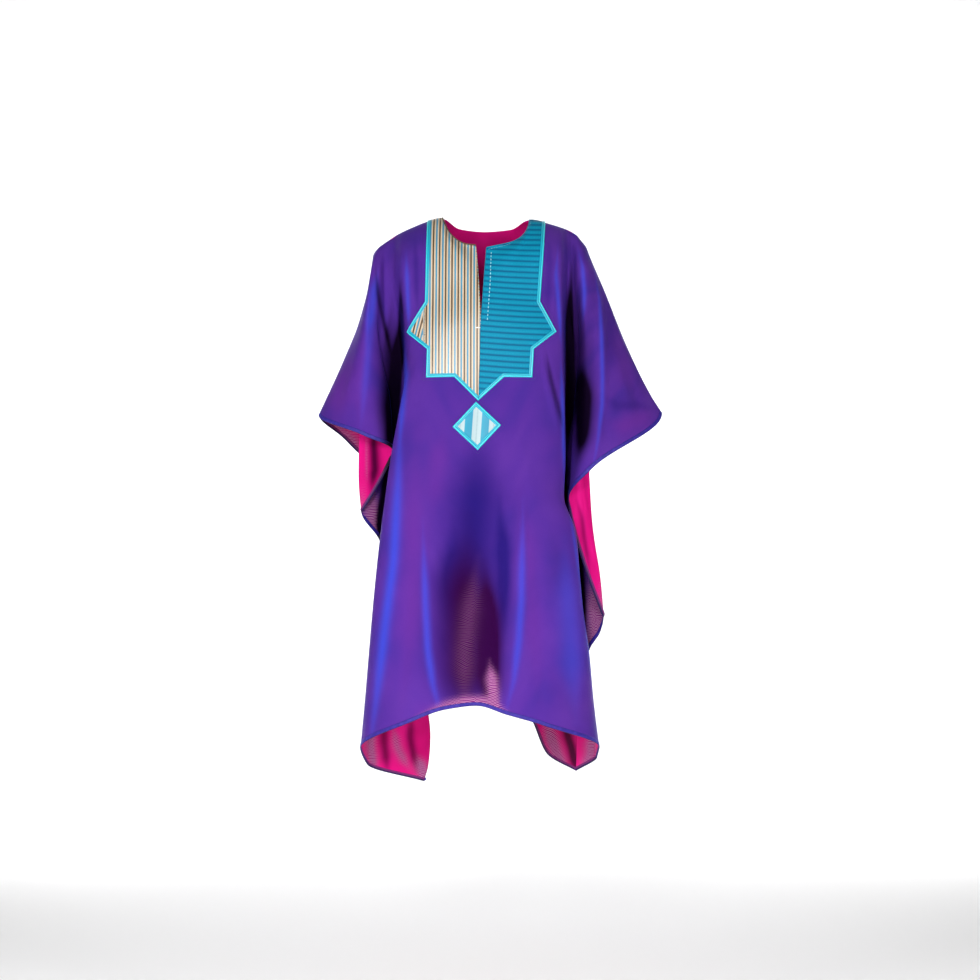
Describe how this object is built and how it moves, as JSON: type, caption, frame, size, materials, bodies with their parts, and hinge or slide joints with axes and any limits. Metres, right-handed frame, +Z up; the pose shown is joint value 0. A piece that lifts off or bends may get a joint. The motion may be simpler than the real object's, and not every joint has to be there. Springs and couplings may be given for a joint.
{
  "type": "kaftan",
  "caption": "Worn batwing kaftan in shot voile, with a star-ended yoke, a slit neck and a diamond applique, open at neck, cuffs and hem.",
  "frame": {"origin": "middle of the neck opening at the height of the shoulder line, where the wearer's shoulders carry the cloth", "axes": "+Z up, -Y the way the front faces, +X to the right as seen from the front"},
  "size_m": [0.6538, 0.303, 1.0878],
  "materials": {
    "front_panel": "shot voile, soft sheen",
    "back_panel": "shot voile, soft sheen",
    "yoke_striped": "woven stripe",
    "yoke_ribbed": "cross-ribbed weave",
    "yoke_binding_striped": "satin",
    "yoke_binding_ribbed": "satin",
    "diamond": "satin stripe",
    "diamond_binding": "satin",
    "neck_piping_brown": "fine piping"
  },
  "bodies": {
    "root": {"front_panel": "front_panel", "back_panel": "back_panel", "yoke_striped": "yoke_striped", "yoke_ribbed": "yoke_ribbed", "yoke_binding_striped": "yoke_binding_striped", "yoke_binding_ribbed": "yoke_binding_ribbed", "diamond": "diamond", "diamond_binding": "diamond_binding", "neck_piping_brown": "neck_piping_brown"}
  },
  "joints": []
}
